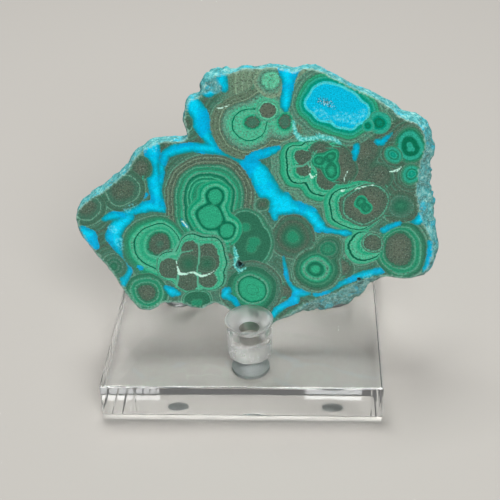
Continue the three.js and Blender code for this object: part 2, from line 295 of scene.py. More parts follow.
# nodules in the order they cover each other
# core seeds are across, up and radius, and drift is where the bands grew wider
nodules = [
    dict(look="field", seeds=[(0, 0, 0)], reach=900, ground=True),
    dict(look="topField", seeds=[(8, 71.7, 2.2)], reach=11.5, ground=True),
    dict(look="matrix", seeds=[(44.5, 54.4, 1.0), (39.8, 51.8, 0.5), (44.6, 46.6, 0.8)],
         reach=7.0, ground=True),
    dict(look="earth", seeds=[(30.1, 46.8, 3.2), (32, 52.5, 2.9), (28, 51, 2.1), (36.2, 45.7, 2.1)],
         reach=1.5, ground=True),
    dict(look="heart", seeds=[(2.4, 60.1, 4.3), (7, 64, 2.7), (11.3, 60.3, 1.8)],
         drift=(-0.2, -0.1), reach=4.7),
    dict(look="brownEye", seeds=[(3, 60.7, 1.6)], reach=0.9),
    dict(look="rimmedBrown", seeds=[(7, 63.8, 2.1)], reach=1.0),
    dict(look="brownEye", seeds=[(11.6, 60.6, 1.6)], reach=0.9),
    dict(look="paleDisc", seeds=[(8, 71.7, 2.2)], reach=2.2, ground=True),
    dict(look="poolRim", seeds=[(19.3, 65.4, 2.8), (22.3, 67.2, 4.2), (25, 66.6, 3.9), (27, 65, 4.4),
         (30.5, 63, 3.3), (22, 63, 2.8), (26, 61.5, 3.0), (28.3, 60, 1.9)], reach=4.0),
    dict(look="softLobe", seeds=[(36, 60.2, 0.8)], reach=2.2),
    dict(look="softLobe", seeds=[(33, 59.4, 0.4)], scale=0.6, reach=1.2),
    dict(look="brownPatch", seeds=[(27, 20.4, 2.2)], reach=0.8),
    dict(look="brownPatch", seeds=[(11.2, 13.8, 2.0)], reach=0.6),
    dict(look="brownPatch", seeds=[(-27, 48.4, 2.4)], reach=0.8),
    dict(look="brownPatch", seeds=[(5.4, 38.6, 1.2)], reach=0.6),
    dict(look="brownPatch", seeds=[(-14.2, 60.6, 1.4)], reach=0.6),
    dict(look="dimEye", seeds=[(42.3, 37.5, 1.2)], reach=3.4),
    dict(look="crescent", seeds=[(16.4, 51.3, 2.2), (16.8, 47.9, 1.9), (22.6, 44.8, 2.6),
         (20, 53.2, 1.6), (23, 49.5, 3.4), (25.5, 50.5, 2.6), (26, 47, 2.8)],
         drift=(-0.8, -0.3), scale=0.8, reach=3.4),
    dict(look="brownCover", seeds=[(25.8, 50.3, 2.9), (27, 47.5, 2.9), (21, 53.5, 1.5)], reach=0.9),
    dict(look="lobes", seeds=[(20.8, 50.3, 0.9), (23.8, 51, 0.9), (24, 47.4, 1.3)], reach=1.3),
    dict(look="crescent", seeds=[(29.5, 38.2, 3.6), (34, 38.5, 4.4), (32.5, 36.2, 3.0)],
         drift=(-0.85, -0.2), scale=0.8, reach=2.3),
    dict(look="mottledCore", seeds=[(31, 38.3, 3.6), (34.3, 38.6, 4.5), (33, 36.4, 3.1)], reach=0.9),
    dict(look="lobes", seeds=[(31.9, 39.1, 0.8), (33.5, 37.1, 0.7)], reach=0.9),
    dict(look="tealEye", seeds=[(44.2, 54.9, 0.8), (45.1, 53.7, 0.7), (44, 53.4, 0.5)],
         blend=0.25, reach=3.2),
    dict(look="tealRing", seeds=[(39.8, 51.8, 0.5)], reach=2.0),
    dict(look="tealRing", seeds=[(44.6, 46.6, 0.8)], reach=2.3),
    dict(look="ringedBrown", seeds=[(42.0, 26.8, 3.4), (42.0, 24.4, 3.4)], drift=(0.2, -0.1), reach=3.2),
    dict(look="crescent", seeds=[(34.7, 27.5, 2.1)], drift=(-0.75, -0.35), scale=1.2, reach=2.9),
    dict(look="mottledCore", seeds=[(35.2, 27.9, 2.3)], reach=0.7),
    dict(look="dullEye", seeds=[(13.7, 29.4, 1.3)], reach=4.7),
    dict(look="target", seeds=[(19.8, 20, 1.3), (23.4, 25.7, -1.1)], reach=5.5),
    dict(look="softEye", seeds=[(23.4, 25.7, 1.4)], reach=1.7),
    dict(look="target", seeds=[(19.8, 20, 1.3)], reach=3.3),
    dict(look="bullseyeSkirt", seeds=[(-8.6, 40.6, 3.6), (-8.9, 35.5, 3.2), (-4.4, 31.4, 0.9)],
         scale=1.14, reach=8.2),
    dict(look="quietEye", seeds=[(0.9, 32.2, 1.2), (3.1, 28, 1.4), (2.3, 26, 1.3)],
         blend=0.25, reach=4.2),
    dict(look="bullseye", seeds=[(-7.2, 41, 2.0), (-8.9, 35.5, 3.2), (-4.4, 31.4, 2.0)], reach=2.6),
    dict(look="softDisc", seeds=[(2, 14.2, 3.65)], reach=4.9),
    dict(look="brownHeart", seeds=[(-22.4, 27.4, 2.9)], drift=(-0.2, -0.2), reach=6.3),
    dict(look="cluster", seeds=[(-20.3, 20.5, 2.9), (-15.5, 16.7, 2.9), (-9.9, 17.1, 2.4),
         (-14.9, 22, 3.2), (-10, 22.3, 3.2), (-14.1, 26.2, 2.2), (-9.8, 25.2, 2.5)],
         drift=(0.55, 0.45), scale=0.64, reach=1.9),
    dict(look="greenCell", seeds=[(-14.9, 21.9, 2.7), (-10.2, 21.8, 2.4)], reach=0.0),
    dict(look="ringedBrown", seeds=[(-26.8, 13.6, 2.6)], reach=3.1),
    dict(look="quietEye", seeds=[(-13.8, 10.3, 0.8), (-12.2, 10.3, 0.8)], scale=0.75, reach=3.0),
    dict(look="oliveEye", seeds=[(-33.3, 42, 3.2), (-31.2, 42.8, 3.6)], reach=1.7),
    dict(look="oliveEye", seeds=[(-43, 37.5, 3.0), (-41.5, 38.3, 2.6)], reach=1.7),
    dict(look="softArcs", seeds=[(-35.4, 20.8, 1.0)], reach=2.6),
]

# pools of blue between the nodules: across, up and half width
underPools = [
    [(-22.8, 55.6, 2.2), (-23.2, 53, 2.5), (-23.7, 49, 2.1), (-23.6, 45.4, 2), (-22.9, 41.4, 1.8),
     (-22.9, 38.4, 1.7)],
    [(-13, 54.4, 1.4), (-17, 53.8, 1.5), (-19.4, 52.3, 1.2), (-20.9, 48.8, 1.0), (-21.7, 44.9, 0.9),
     (-22.1, 41.1, 0.9), (-21.4, 38, 1.2), (-19.3, 36.8, 1.0), (-17.9, 35.9, 0.5)],
    [(-13, 54.4, 1.4), (-8, 53.8, 1.5), (-4.5, 52.3, 1.4), (-1, 50.8, 1.2), (1, 49.5, 1.6)],
    [(-12.6, 66.1, 2.3), (-10.7, 63, 2.6), (-9.3, 59.5, 2.4), (-7.6, 55.8, 2), (-4.9, 52.7, 1.6)],
    [(-8, 69, 2), (-5, 71, 1.6), (-4.2, 73.5, 1.3), (-4, 70, 1.2)],
    [(1.7, 50.4, 1.8), (4.8, 46.6, 3.2), (7, 43.2, 3.6), (9.5, 40.2, 3.6), (11.6, 38.2, 3),
     (8.5, 36.5, 1.6), (8.3, 34.5, 0.9)],
    [(11, 38.4, 2.6), (13, 37.5, 2.2), (16.1, 36.9, 2.2), (18.5, 35.2, 2.3), (20.9, 32.5, 2),
     (22.5, 31.4, 1.1), (25.5, 30.6, 0.9)],
    [(-43.6, 31.3, 1.5), (-41.7, 29.4, 2.3), (-40.3, 26.8, 1.2)],
    [(-25.6, 41.4, 0.5), (-27.8, 39.6, 0.7), (-29.8, 38.2, 0.8), (-32.7, 36.8, 0.9),
     (-35.2, 36, 1.2), (-37.3, 35.2, 1.1)],
    [(-19.8, 37.1, 1.1), (-24.9, 38.1, 1.7), (-29.4, 36.9, 1.5), (-33.3, 36, 1.2), (-36.8, 35.5, 1)],
    [(-31, 34.8, 1.5), (-33.8, 32.8, 2.3), (-35.2, 29.7, 2.2), (-33.6, 26.6, 1.7),
     (-31.6, 23.5, 1.4), (-32.2, 18.8, 1.6), (-33.1, 15.6, 1.1)],
    [(45, 33.3, 0.8), (46.5, 33.5, 1.4), (47.3, 34.3, 1.6)],
    [(19.7, 12.6, 0.7), (23, 13.9, 0.9), (26.7, 16.2, 0.9), (30.3, 17.8, 1.1), (34, 18.6, 1.3),
     (37.2, 19.7, 0.9), (39.6, 19.9, 0.4)],
    [(50.2, 26.8, 1), (50.5, 23.8, 1.1), (49.7, 21.2, 1.2), (48.9, 19.5, 0.7)],
]
overPools = [
    [(12.9, 75.6, 3.9), (12.7, 73.6, 2.8), (12.7, 71.5, 1.9), (12.4, 69.2, 1.6), (11.9, 66.9, 1.7),
     (11.6, 65, 1.5), (11.8, 63.6, 0.9)],
    [(1.7, 50.9, 1.2), (5.3, 52.1, 1.3), (8.3, 53.2, 1.2), (10.1, 53.8, 0.6)],
    [(38, 31.3, 0.8), (39.7, 32.2, 0.9), (41.9, 33, 0.6)],
    [(23.6, 30.9, 0.5), (25.9, 30.5, 0.9), (27.7, 30.4, 1.3), (28.8, 30.3, 0.8)],
    [(30.2, 54.2, 0.9), (30, 52.3, 1), (29.9, 50.4, 0.6)],
    [(35.6, 55, 1), (36.8, 55, 1), (38.6, 56.6, 0.6), (39.5, 57.5, 0.3)],
    [(10.9, 24, 0.35), (11.1, 21.5, 0.6), (11.5, 18.5, 0.7), (12.2, 16.4, 0.5), (13.3, 15, 0.6),
     (14.5, 13.2, 1.6), (16.5, 12.7, 1), (18.2, 12.8, 0.5)],
    [(14, 11.2, 1.6), (11.5, 9.6, 1.1), (9, 7.8, 1.2), (8, 6.5, 0.9)],
    [(-21.5, 14.8, 0.8), (-19.8, 13.6, 1.6), (-18.5, 13, 0.9)],
    [(-4.5, 13.4, 1.4), (-5, 12.2, 1.2), (-3, 11, 0.9), (-2.2, 9.7, 0.9)],
    [(-28.3, 20.6, 0.7), (-28.9, 21, 0.5)],
    [(-16.2, 34.4, 0.3), (-15.5, 32.9, 0.6), (-14.6, 32, 0.3)],
]
whiteVeins = [
    [(-18.3, 22.7, 0.08), (-18, 21.1, 0.12), (-17.6, 19.3, 0.36), (-15.5, 19.2, 0.16),
     (-13.6, 19.6, 0.2), (-12.6, 18.7, 0.22), (-11.7, 18.2, 0.34), (-9.5, 18.8, 0.14), (-7.6, 20, 0.08)],
    [(18.2, 48.8, 0.06), (18.3, 46.8, 0.1), (18.8, 45.5, 0.2), (20.2, 46.3, 0.06)],
    [(28.3, 47.6, 0.08), (27.6, 45.7, 0.12), (27.2, 44.3, 0.06)],
    [(26.9, 42.2, 0.25), (27.5, 42.3, 0.2)],
    [(30, 42.5, 0.15), (35, 43.4, 0.15)],
    [(38.9, 47, 0.12), (40.5, 47.7, 0.22), (41.7, 48.6, 0.12)],
    [(-16, 34, 0.12), (-14.7, 32, 0.14)],
    [(-5.4, 64.4, 0.2), (-3.4, 64.9, 0.15), (-2.6, 65.5, 0.12)],
]
paleVeins = [
    [(14, 60.4, 0.35), (14.5, 57.8, 0.5), (16, 56.2, 0.6), (18, 56.3, 0.4), (21, 56.8, 0.45),
     (23, 56.2, 0.5), (25, 55, 0.5), (25.8, 54.3, 0.3)],
    [(-2, 26.2, 0.25), (-1.8, 24, 0.45), (-2.5, 21.4, 0.55), (-1.3, 19.4, 0.4), (0.4, 20.5, 0.25)],
]
greenLines = [
    [(-22, 23.1, 0.12), (-20.5, 24, 0.2), (-18.6, 25.2, 0.25), (-17.2, 28, 0.15)],
    [(-11.8, 28.2, 0.1), (-11.9, 25.2, 0.12), (-12.3, 22.1, 0.1), (-12.8, 19.4, 0.08)],
    [(-18.3, 22.5, 0.1), (-16.5, 25.2, 0.1), (-13.6, 25.6, 0.08)],
    [(-25.7, 24.7, 0.1), (-23.3, 24, 0.12), (-21.4, 23.4, 0.1)],
    [(13.7, 48.6, 0.12), (16.3, 48.8, 0.12), (17.7, 49.8, 0.1), (18.6, 50.5, 0.1), (20.2, 53.1, 0.1)],
    [(18.2, 48.6, 0.1), (17.7, 49.8, 0.1)],
    [(-17.9, 19.2, 0.12), (-18.2, 17.2, 0.14), (-18.6, 15.2, 0.12)],
    [(-12.6, 18.6, 0.12), (-12.7, 16.6, 0.14), (-12.6, 14.2, 0.12)],
]
frosting = [
    [(-35.6, 32.4, 0.8), (-34.4, 31, 0.7)],
    [(-33.6, 28, 0.8), (-33, 26.6, 0.6)],
    [(-31.4, 37.2, 0.8), (-29.2, 38, 0.5)],
    [(-22.4, 53.5, 0.6), (-23, 55, 0.6)],
    [(25, 62.2, 1.0), (29.5, 61.2, 1.4), (31.5, 62.6, 1.0)],
    [(20.4, 63.6, 0.8), (22.5, 61.8, 0.6)],
    [(33.4, 17.2, 0.7), (34.6, 17.8, 0.5)],
]
# tiny pits beside the crystal-lined hole: across, up and half width
speckPatches = [
    [(21.4, 66.3, 0.9), (22.9, 65.6, 1.1), (24.2, 64.6, 0.5)],
]
# patch of painted shadow inside the open vug: across, up and half width
vugShadowPatches = [
    [(-1.1, 22.6, 0.4), (-1.4, 21.4, 1.0), (0.2, 21.4, 0.3)],
]
crustPatches = [
    [(-9, 70, 1.8), (-7, 71.5, 1.8), (-6, 70, 1.5)],
]
# holes that go down into the stone: across, up, width to look in, and how much of the wall is crystals
hollows = [(-1.0, 21.7, 2.4, 0.0), (31.5, 17.2, 1.5, 0.1), (22.4, 65.8, 2.3, 0.75)]


def valueNoise(p, seed):
    cell = np.floor(p).astype(np.int64)
    t = p - cell
    t = t * t * t * (t * (t * 6 - 15) + 10)
    total = 0.0
    for corner in range(8):
        d = np.array([corner & 1, corner >> 1 & 1, corner >> 2 & 1])
        h = ((cell + d) * np.array([374761393, 668265263, 1440662683])).sum(1) + seed * 974634777
        h = (h ^ (h >> 13)) * 1274126177
        h = (h ^ (h >> 16)) & 0xFFFFFF
        w = np.prod(np.where(d, t, 1 - t), axis=1)
        total = total + w * (h / float(0x7FFFFF) - 1.0)
    return total


def nearSeeds(p, seeds, blend):
    total = 0.0
    for u, v, r in seeds:
        d = np.hypot(p[:, 0] - u, p[:, 1] - v) - r
        total = total + np.exp(np.clip(-d / blend, -300, 60))
    return -blend * np.log(np.maximum(total, 1e-120))


def nearLine(p, line):
    best = np.full(len(p), 1e3)
    for (au, av, ar), (bu, bv, br) in zip(line, line[1:]):
        ab = np.array([bu - au, bv - av])
        t = np.clip(((p[:, 0] - au) * ab[0] + (p[:, 1] - av) * ab[1]) / max(ab @ ab, 1e-9), 0, 1)
        d = np.hypot(p[:, 0] - au - t * ab[0], p[:, 1] - av - t * ab[1]) - (ar + t * (br - ar))
        best = np.minimum(best, d)
    return best


def deepest(p, lines):
    best = np.full(len(p), -1e3)
    for line in lines:
        best = np.maximum(best, -nearLine(p, line))
    return best


def warped(spots):
    q = spots[:, :2].copy()
    for wave, size, seed in stone["warp"]:
        q[:, 0] += size * valueNoise(spots / wave, seed)
        q[:, 1] += size * valueNoise(spots / wave, seed + 1)
    return q


def growth(p, nodule):
    blend = nodule.get("blend", 0.45)
    d = nearSeeds(p, nodule["seeds"], blend)
    drift = np.array(nodule.get("drift", (0, 0)), float)
    if drift.any():
        for _ in range(14):
            d = nearSeeds(p - drift * np.maximum(d, 0)[:, None], nodule["seeds"], blend)
    return d


# what shows at each spot of the stone, and what it borders on,
# so that the material can cut a clean line between them
def stoneFields(spots):
    p = warped(spots)
    every = np.arange(len(p))
    d = np.array([growth(p, n) for n in nodules])
    edge = d - np.array([n["reach"] for n in nodules])[:, None]
    free = np.min([e for e, n in zip(edge, nodules) if not n.get("ground")], axis=0)
    d[0] = free
    top = np.full(len(p), -1)
    under = np.zeros(len(p), int)
    above = np.full(len(p), -1)
    aboveGap = np.full(len(p), 1e3)
    foundUnder = np.zeros(len(p), bool)
    for k in range(len(nodules) - 1, -1, -1):
        e = edge[k]
        closer = (top < 0) & (e >= 0) & (e < aboveGap)
        aboveGap[closer] = e[closer]
        above[closer] = k
        second = (top >= 0) & ~foundUnder & (e < 0)
        under[second] = k
        foundUnder |= second
        top[(top < 0) & (e < 0)] = k
    inside = -edge[top, every]
    byAbove = aboveGap < inside
    first = np.where(byAbove & (aboveGap < stone["cleanLine"]), above, top)
    other = np.where(~byAbove & (inside < stone["cleanLine"]), under, top)
    scale = np.array([n.get("scale", 1.0) for n in nodules])
    kinds = list(bands)
    kind = np.array([kinds.index(n["look"]) for n in nodules], float)
    return {
        "ringA": d[first, every] / scale[first],
        "ringB": d[other, every] / scale[other],
        "kindA": kind[first],
        "kindB": kind[other],
        "gap": np.where(byAbove, aboveGap, -inside),
        "pool": np.maximum(np.minimum(deepest(p, underPools), free), deepest(p, overPools)),
        "vein": deepest(p, whiteVeins),
        "paleVein": deepest(p, paleVeins),
        "greenLine": deepest(p, greenLines),
        "frosted": deepest(p, frosting),
        "specks": deepest(p, speckPatches),
        "vugShadow": deepest(p, vugShadowPatches),
        "crust": deepest(p, crustPatches),
    }


plateLow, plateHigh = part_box("base_plate")
# middle of the plate's front top edge
plateFront = Vector(((plateLow.x + plateHigh.x) / 2, plateLow.y, plateHigh.z))
lean = math.radians(stone["lean"])
faceOrigin = plateFront + Vector((0, stone["faceBack"] * mm, 0))
faceAxes = np.array([  # across, up the face, back into the stone
    [1, 0, 0],
    [0, math.sin(lean), math.cos(lean)],
    [0, math.cos(lean), -math.sin(lean)],
])


def stoneMesh():
    # a closed copy of the node in the face's own axes, in mm, cut into even small quads
    bm = bmesh.new()
    bm.from_mesh(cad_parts["slab"].data)
    bmesh.ops.remove_doubles(bm, verts=bm.verts, dist=1e-6)
    for vert in bm.verts:
        vert.co = Vector(faceAxes @ np.array(vert.co - faceOrigin) / mm)
    rough = bpy.data.meshes.new("slab_rough")
    bm.to_mesh(rough)
    bm.free()
    holder = bpy.data.objects.new("slab_rough", rough)
    bpy.context.scene.collection.objects.link(holder)
    remesh = holder.modifiers.new("even", "REMESH")
    remesh.mode = "VOXEL"
    remesh.voxel_size = stone["voxel"]
    mesh = bpy.data.meshes.new_from_object(holder.evaluated_get(bpy.context.evaluated_depsgraph_get()))
    bpy.data.objects.remove(holder)
    bpy.data.meshes.remove(rough)

    count = len(mesh.vertices)
    spots = np.empty(count * 3)
    mesh.vertices.foreach_get("co", spots)
    spots = spots.reshape(-1, 3)
    normals = np.empty(count * 3)
    mesh.vertex_normals.foreach_get("vector", normals)
    normals = normals.reshape(-1, 3)

    depth = spots[:, 2].copy()
    front = (np.abs(depth) < stone["frontWithin"]) & (normals[:, 2] < -stone["facing"])
    back = (np.abs(depth - stone["thick"]) < stone["backWithin"]) & (normals[:, 2] > stone["facing"])
    spots[front, 2] = 0.0
    fields = stoneFields(spots)
    broken = np.where(front | back, 0.0, 1.0)
    crusty = np.where(front, soft(fields.pop("crust"), -0.3, 0.4), 0.0)
    pitDepthShade = np.zeros(count)
    crystals = np.zeros(count)
    inPit = np.zeros(count, bool)
    # the wall inside each hole gets painted shade, darker with depth
    for u, v, width, share in hollows:
        near = (np.hypot(spots[:, 0] - u, spots[:, 1] - v) < width) & ~back & (spots[:, 2] < stone["pitsTo"])
        pitDepthShade[near] = soft(spots[near, 2], 0.12, 0.4)
        crystals[near] = share
        inPit |= near
    # how far each spot of the polished face is from its broken edge
    edgeSpots = spots[~front & ~back & ~inPit & (spots[:, 2] < stone["edgeTo"])]
    edgeTree = kdtree.KDTree(len(edgeSpots))
    for i, spot in enumerate(edgeSpots):
        edgeTree.insert(spot, i)
    edgeTree.balance()
    fields["rim"] = np.zeros(count)
    for i in np.flatnonzero(front):
        fields["rim"][i] = edgeTree.find(spots[i])[2]
    relief = 0.0
    for wave, height, seed in stone["lumps"]:
        relief = relief + height * valueNoise(spots / wave, seed)
    spots += normals * (relief * np.maximum(broken, crusty))[:, None]
    fields["broken"] = np.maximum(broken, crusty)
    # which way each spot faces up the face; the material paints the broken walls lighter or darker by it, as
    # painted shade
    fields["shadeByFacing"] = normals[:, 1]
    fields["pitDepthShade"] = pitDepthShade
    fields["crystals"] = crystals
    fields["sawn"] = np.where(back, 1.0, 0.0)

    co = spots * mm @ faceAxes + np.array(faceOrigin)
    low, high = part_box("slab")
    co = np.clip(co, np.array(low), np.array(high))
    mesh.vertices.foreach_set("co", co.ravel())
    for name, values in fields.items():
        layer = mesh.attributes.new(name, "FLOAT", "POINT")
        layer.data.foreach_set("value", values.astype(np.float32))
    layer = mesh.attributes.new("spot", "FLOAT_VECTOR", "POINT")
    layer.data.foreach_set("vector", spots.astype(np.float32).ravel())
    mesh.update()
    smoothFaces(mesh, stone["sharpAt"])
    return mesh


def stoneMaterial():
    material, tree, body, out = newMaterial("malachite_in_chrysocolla")
    spot = stored(tree, "spot", "Vector")

    def field(name):
        return stored(tree, name)

    def grains(scale, detail=2.0, roughness=0.5, distortion=0.0):
        return noise(tree, spot, scale, detail, roughness, distortion)

    def times(x, y, clamp=False):
        return maths(tree, "MULTIPLY", x, y, clamp=clamp)

    def plus(x, y):
        return maths(tree, "ADD", x, y)

    def scaled(x, by, add, clamp=False):
        return maths(tree, "MULTIPLY_ADD", x, by, add, clamp=clamp)

    grain = grains(2.6, 2.0, 0.6)
    wobble = scaled(grains(1.2, 3.0), 0.34, -0.17)
    inner = maths(tree, "LESS_THAN", field("gap"), 0.0)

    def chosen(a, b):
        n = tree.nodes.new("ShaderNodeMix")
        n.data_type = "FLOAT"
        plug(tree, inner, n.inputs[0])
        plug(tree, field(b), n.inputs[2])
        plug(tree, field(a), n.inputs[3])
        return n.outputs[0]

    # rings waver a little, and the edge of a core is toothed
    ring = plus(chosen("ringA", "ringB"), wobble)
    atEdge = times(between(tree, ring, -0.7, -0.1), between(tree, ring, 0.2, 0.8, 1.0, 0.0))
    kind = chosen("kindA", "kindB")
    toothed = maths(tree, "GREATER_THAN", kind, list(bands).index("brownHeart") - 0.5)
    teeth = scaled(grains(2.0, 1.0), 0.9, -0.45)
    bite = scaled(times(atEdge, toothed), 1.1, 0.14)
    ring = scaled(teeth, bite, ring)
    green = None
    for index, (name, stops) in enumerate(bands.items()):
        low, high = stops[0][0] - 0.05, stops[-1][0] + 0.05
        along = scaled(ring, 1 / (high - low), -low / (high - low), clamp=True)
        colour = ramp(tree, along, [((at - low) / (high - low), shade(*shades[s])) for at, s in stops])
        if green is None:
            green = colour
        else:
            green = mixed(tree, maths(tree, "COMPARE", kind, float(index), 0.5), green, colour)

    # fine growth lines, cloudiness and grain
    lines = maths(tree, "SINE", scaled(ring, 15.0, times(grains(0.4), 9.0)))
    lines = scaled(lines, 0.06, 0.98)
    cloud = scaled(grains(0.8, 4.0, 0.6), 0.3, 0.85)
    speckle = scaled(grain, 1.3, 0.22)
    tone = times(times(lines, cloud), speckle)
    green = mixed(tree, 1.0, green, tone, "MULTIPLY")
    n = tree.nodes.new("ShaderNodeSeparateColor")
    tree.links.new(green, n.inputs[0])
    earthy = between(tree, n.outputs[0], 0.03, 0.07)
    clay = times(earthy, between(tree, grains(2.1, 2.0, 0.6), 0.46, 0.64, 0.0, 0.5))
    green = mixed(tree, clay, green, shade(104, 112, 96))
    soil = times(earthy, between(tree, grains(1.5, 3.0, 0.7), 0.52, 0.64, 0.0, 0.7))
    green = mixed(tree, soil, green, shade(50, 58, 54))
    sugar = times(earthy, between(tree, grains(2.4, 2.0, 0.6), 0.6, 0.7, 0.0, 0.5))
    green = mixed(tree, sugar, green, shade(150, 176, 166))
    seam = between(tree, maths(tree, "ABSOLUTE", field("gap")), 0.03, 0.15, 0.22, 0.0)
    green = mixed(tree, seam, green, shade(*shades["reed"]))
    thread = between(tree, scaled(wobble, 0.4, field("greenLine")), -0.24, -0.02, 0.0, 0.85)
    green = mixed(tree, thread, green, shade(*shades["mint"]))

    # blue pools, greener and duller where they thin out
    deep = plus(field("pool"), scaled(grains(0.9, 5.0, 0.65), 1.3, -0.65))
    blue = ramp(tree, times(deep, 0.5, clamp=True), [
        (0.0, shade(42, 128, 118)), (0.12, shade(16, 142, 148)), (0.28, shade(2, 160, 184)),
        (0.52, shade(0, 186, 216)), (0.8, shade(0, 206, 240))])
    azure = between(tree, grains(0.16, 3.0, 0.55, 0.4), 0.46, 0.62)
    blue = mixed(tree, times(azure, 0.75), blue, shade(0, 164, 216))
    crack = maths(tree, "ABSOLUTE", maths(tree, "SUBTRACT", grains(0.5, 3.0, 0.6, 0.6), 0.5))
    blue = mixed(tree, between(tree, crack, 0.01, 0.05, 0.22, 0.0), blue, shade(14, 104, 122))
    flecks = between(tree, grains(1.9, 4.0, 0.7), 0.62, 0.74)
    blue = mixed(tree, times(flecks, 0.35), blue, shade(110, 222, 228))
    blue = mixed(tree, 0.45, blue, speckle, "MULTIPLY")
    edge = plus(field("pool"), scaled(grain, 0.9, -0.45))
    colour = mixed(tree, between(tree, edge, -0.1, 0.12), green, blue)
    sparkle = between(tree, grains(1.2, 4.0, 0.7), 0.44, 0.66)
    frosted = times(between(tree, field("frosted"), -0.6, 0.3), sparkle)
    colour = mixed(tree, times(frosted, 0.6), colour, shade(120, 224, 232))

    paleVein = between(tree, plus(field("paleVein"), times(teeth, 1.3)), -0.3, 0.3)
    holes = between(tree, grains(1.6, 3.0, 0.6), 0.42, 0.6)
    lace = mixed(tree, holes, shade(58, 172, 166), shade(128, 214, 206))
    colour = mixed(tree, paleVein, colour, lace)
    vein = between(tree, plus(field("vein"), times(teeth, 0.5)), -0.14, 0.06)
    colour = mixed(tree, vein, colour, shade(184, 226, 209))

    # dark teal specks there are painted shade of tiny pits, with pale specks among them
    pitSpeckShade = times(between(tree, field("specks"), -0.4, 0.3), between(tree, grains(1.7, 3.0, 0.7), 0.48, 0.58))
    colour = mixed(tree, times(pitSpeckShade, 0.8), colour, shade(24, 84, 96))
    salt = times(between(tree, field("specks"), -0.3, 0.4), between(tree, grains(2.4, 2.0, 0.6), 0.56, 0.64))
    colour = mixed(tree, times(salt, 0.8), colour, shade(176, 204, 206))
    # near-black painted shadow inside the open vug
    vugShadow = between(tree, plus(field("vugShadow"), times(teeth, 0.8)), -0.3, 0.3)
    colour = mixed(tree, times(vugShadow, 0.85), colour, shade(16, 38, 38))
    chalk = plus(field("rim"), scaled(grains(1.3, 3.0, 0.65), 2.4, -1.2))
    colour = mixed(tree, between(tree, chalk, 0.1, 0.8, 0.65, 0.0), colour, shade(146, 186, 170))

    # broken edges and crust, with blue coming through: walls facing up are painted pale and walls facing down
    # brown and grey, a painted shade by which way each wall faces
    shadeByFacing = between(tree, field("shadeByFacing"), -0.8, 0.5)
    grit = grains(0.75, 5.0, 0.68, 0.5)
    # lit copy of the crust, painted pale, for walls that face up
    pale = ramp(tree, grit, [
        (0.30, shade(46, 98, 96)), (0.42, shade(60, 138, 140)),
        (0.52, shade(72, 164, 168)), (0.66, shade(140, 198, 192))])
    # shaded copy of the crust, painted brown and grey, for walls that face down
    dull = ramp(tree, grit, [
        (0.30, shade(64, 84, 76)), (0.44, shade(96, 122, 112)),
        (0.54, shade(104, 150, 144)), (0.68, shade(160, 180, 168))])
    crust = mixed(tree, shadeByFacing, dull, pale)
    blueing = between(tree, grains(0.28, 4.0, 0.6, 0.5), 0.54, 0.64)
    # blue shows more on the walls that face up, following the same painted shade
    crust = mixed(tree, times(blueing, scaled(shadeByFacing, 0.4, 0.3)), crust, shade(24, 176, 204))
    dust = between(tree, grains(1.1, 4.0, 0.65), 0.58, 0.66)
    crust = mixed(tree, times(dust, 0.65), crust, shade(96, 112, 98))
    crumbs = grains(2.2, 3.0, 0.7)
    crust = mixed(tree, between(tree, crumbs, 0.55, 0.66, 0.0, 0.35), crust, shade(206, 234, 226))
    crust = mixed(tree, between(tree, crumbs, 0.34, 0.46, 0.55, 0.0), crust, shade(54, 92, 86))
    broken = field("broken")
    colour = mixed(tree, broken, colour, crust)

    # hollows: painted shade, darker with depth into each hole, with pale glints where the wall has crystals
    glint = times(between(tree, grains(2.2, 3.0, 0.7), 0.46, 0.56), field("crystals"))
    pitShadeAndGlints = mixed(tree, glint, shade(16, 34, 34), shade(178, 206, 206))
    colour = mixed(tree, field("pitDepthShade"), colour, pitShadeAndGlints)
    tree.links.new(colour, body.inputs["Base Color"])

    sawn = field("sawn")
    gloss = scaled(grains(0.6, 3.0), 0.08, stone["polish"] - 0.04)
    gloss = scaled(sawn, stone["sawn"] - stone["polish"], gloss)
    gloss = scaled(broken, stone["broken"] - stone["polish"], gloss, clamp=True)
    tree.links.new(gloss, body.inputs["Roughness"])
    body.inputs["Specular IOR Level"].default_value = stone["specular"]

    height = times(grains(3.5, 5.0, 0.65), scaled(broken, 1.0, 0.015))
    tree.links.new(bump(tree, height, 0.6, 0.00035), body.inputs["Normal"])
    return material


slabMesh = stoneMesh()
slabMesh.materials.append(stoneMaterial())
addPiece("slab_stone", slabMesh, "slab")
print("stone:", sum(len(p.vertices) - 2 for p in slabMesh.polygons), "triangles")


# the stand
stand = {
    "easedEdge": 0.4,
    "easedSteps": 3,
    "sides": 128,
    "ior": 1.49,
    "tint": (0.94, 0.965, 0.955, 1.0),
    "tintDepth": 6.0,
    # colour painted into the front peg's hole, a painted shade
    "holeShadeColour": (0.3, 0.29, 0.26, 1.0),
    "haze": 0.012,
    "toolHaze": 0.5,
    "overlap": 0.02,  # glued faces run this far into each other, so no air shows between them
    "plateSharpAt": 10,
    "turnedSharpAt": 25,
    "rubberSharpAt": 50,
}


